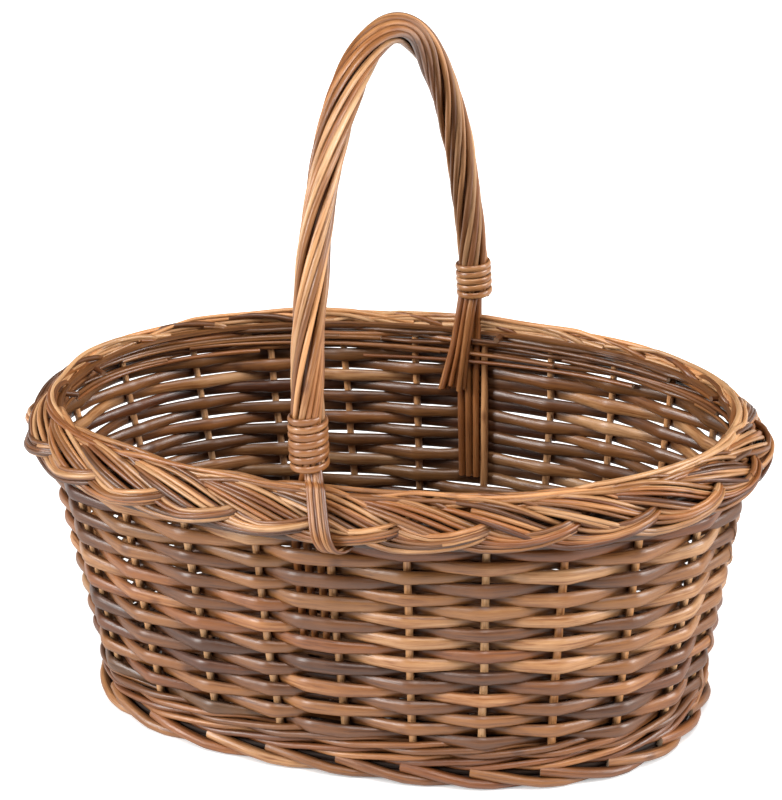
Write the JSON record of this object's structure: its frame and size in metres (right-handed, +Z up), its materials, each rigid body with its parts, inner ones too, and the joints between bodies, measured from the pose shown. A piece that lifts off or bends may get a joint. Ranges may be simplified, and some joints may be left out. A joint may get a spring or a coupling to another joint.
{
  "type": "foraging basket",
  "caption": "Oval woven willow basket with a plaited rim, a stroked foot and a roped arched handle across the middle, for carrying gathered mushrooms.",
  "frame": {"origin": "middle of the oval on the surface that the foot stands on", "axes": "+X along the basket's length, +Y across it towards the back foot of the handle, +Z up"},
  "size_m": [0.441, 0.3056, 0.4],
  "materials": {
    "stake": "willow in its buffed bark, warm tan brown, low sheen",
    "weaver": "steamed willow rods, chestnut brown with streaks, low sheen",
    "pale_weaver": "steamed willow rods, paler tan brown with streaks, low sheen",
    "wale": "steamed willow rods, dark chestnut brown, low sheen",
    "foot": "steamed willow rods, mid brown with worn edges, low sheen",
    "base": "willow sticks and rods, dark brown, dull",
    "border": "steamed willow rods, peach tan to mid brown, low sheen",
    "handle": "steamed willow rods, red brown, polished a little by the hand",
    "binding": "split willow skein, light tan, satin"
  },
  "bodies": {
    "root": {"base_sticks": "base", "base_weaver": "base", "foot_border": "foot", "stake_01": "stake", "stake_02": "stake", "stake_03": "stake", "stake_04": "stake", "stake_05": "stake", "stake_06": "stake", "stake_07": "stake", "stake_08": "stake", "stake_09": "stake", "stake_10": "stake", "stake_11": "stake", "stake_12": "stake", "stake_13": "stake", "stake_14": "stake", "stake_15": "stake", "stake_16": "stake", "stake_17": "stake", "stake_18": "stake", "stake_19": "stake", "stake_20": "stake", "stake_21": "stake", "stake_22": "stake", "stake_23": "stake", "stake_24": "stake", "wale_1": "wale", "wale_2": "wale", "wale_3": "wale", "weaver_01": "weaver", "weaver_02": "pale_weaver", "weaver_03": "weaver", "weaver_04": "pale_weaver", "weaver_05": "weaver", "weaver_06": "pale_weaver", "weaver_07": "weaver", "weaver_08": "pale_weaver", "weaver_09": "weaver", "weaver_10": "pale_weaver", "weaver_11": "weaver", "weaver_12": "pale_weaver", "weaver_13": "weaver", "weaver_14": "pale_weaver", "weaver_15": "weaver", "weaver_16": "pale_weaver", "weaver_17": "weaver", "weaver_18": "pale_weaver", "weaver_19": "weaver", "border_strand_1": "border", "border_strand_2": "border", "border_strand_3": "border", "handle_bow": "handle", "handle_rope_1": "handle", "handle_rope_2": "handle", "handle_rope_3": "handle", "binding_front": "binding", "binding_back": "binding", "handle_tail_front": "handle", "handle_tail_back": "handle"}
  },
  "joints": []
}
